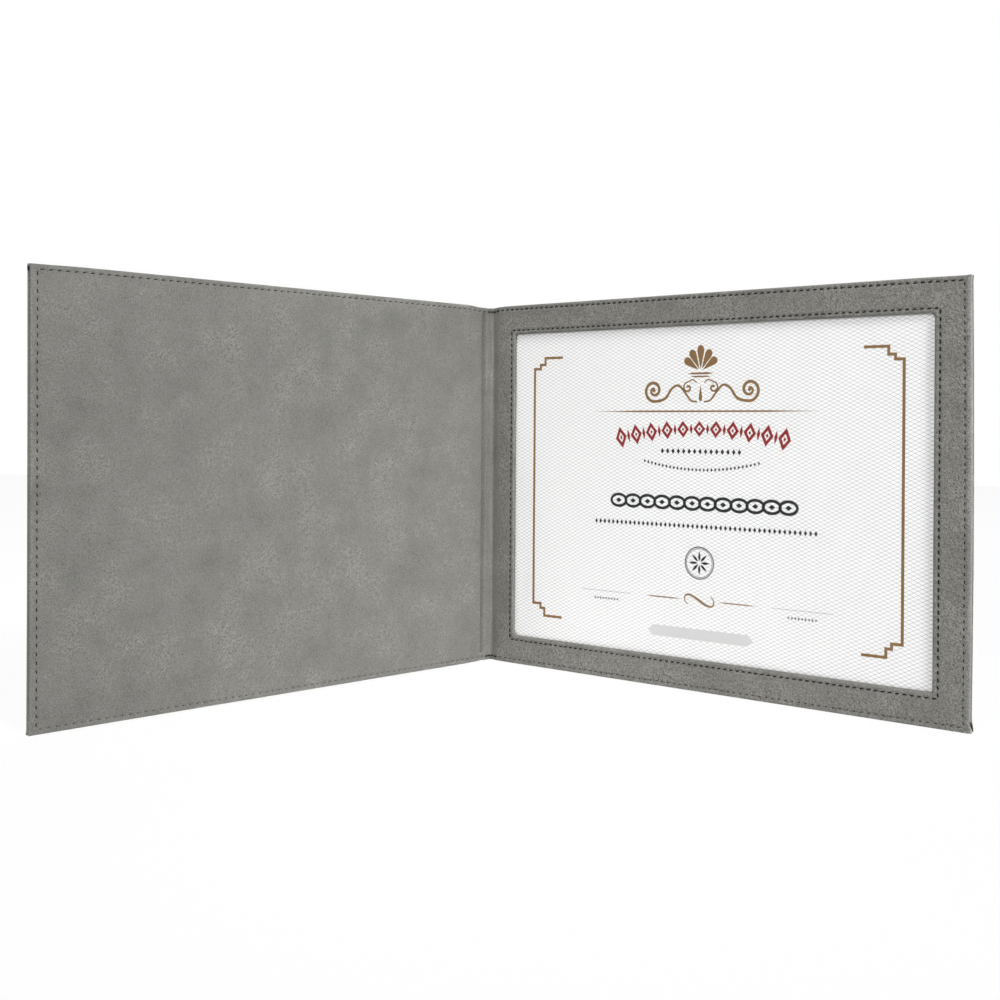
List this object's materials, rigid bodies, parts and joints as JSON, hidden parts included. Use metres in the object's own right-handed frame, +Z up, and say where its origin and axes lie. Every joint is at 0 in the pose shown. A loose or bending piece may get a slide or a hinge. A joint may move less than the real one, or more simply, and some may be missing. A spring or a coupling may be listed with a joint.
{
  "type": "certificate holder",
  "caption": "Folding leatherette certificate holder that stands open like a book, with a plain padded cover and a sewn window frame over a document pocket.",
  "frame": {"origin": "under the middle of the box round the open holder, at the level that it stands on", "axes": "+X along the back cover from the spine to its free edge, +Y out of the back cover's outer face, +Z up"},
  "size_m": [0.354, 0.3056, 0.2286],
  "materials": {
    "leatherette": "soft matt grey leatherette with a fine grain and faint clouding",
    "thread": "twisted charcoal sewing thread",
    "greyboard": "pressed dark greyboard, standing in for paper pulp",
    "card": "thin pressed card",
    "pocket_cloth": "thin dark backing cloth",
    "paper": "white certificate paper, standing in for paper pulp",
    "clear_sheet": "clear flexible plastic sheet"
  },
  "bodies": {
    "back_cover": {"back_outer_cover": "leatherette", "back_board": "greyboard", "pocket_backing": "pocket_cloth", "certificate": "paper", "clear_window_sheet": "clear_sheet", "frame_stiffener": "card", "window_frame": "leatherette", "window_needle_thread": "thread", "window_bobbin_thread": "thread", "back_border_needle_thread": "thread", "back_border_bobbin_thread": "thread"},
    "spine": {"spine_outer_strip": "leatherette", "spine_stiffener": "card", "spine_lining": "leatherette", "spine_top_needle_thread": "thread", "spine_top_bobbin_thread": "thread", "spine_bottom_needle_thread": "thread", "spine_bottom_bobbin_thread": "thread", "front_fold_outer": "leatherette", "front_fold_lining": "leatherette", "back_fold_outer": "leatherette", "back_fold_lining": "leatherette"},
    "front_cover": {"front_outer_cover": "leatherette", "front_board": "greyboard", "front_lining": "leatherette", "front_border_needle_thread": "thread", "front_border_bobbin_thread": "thread"}
  },
  "joints": [
    {"name": "spine_fold", "type": "hinge", "parent": "back_cover", "child": "spine", "pos_m": [-0.12453, 0.15182, 0.1143], "axis": [0, 0, 1], "range_deg": [-40.75, 49.25], "deforming": ["back_fold_outer", "back_fold_lining"]},
    {"name": "cover_fold", "type": "hinge", "parent": "spine", "child": "front_cover", "pos_m": [-0.13142, 0.14588, 0.1143], "axis": [0, 0, 1], "range_deg": [-40.75, 49.25], "deforming": ["front_fold_outer", "front_fold_lining"]}
  ],
  "couplings": [
    {"joint": "cover_fold", "follows": "spine_fold", "ratio": 1}
  ]
}
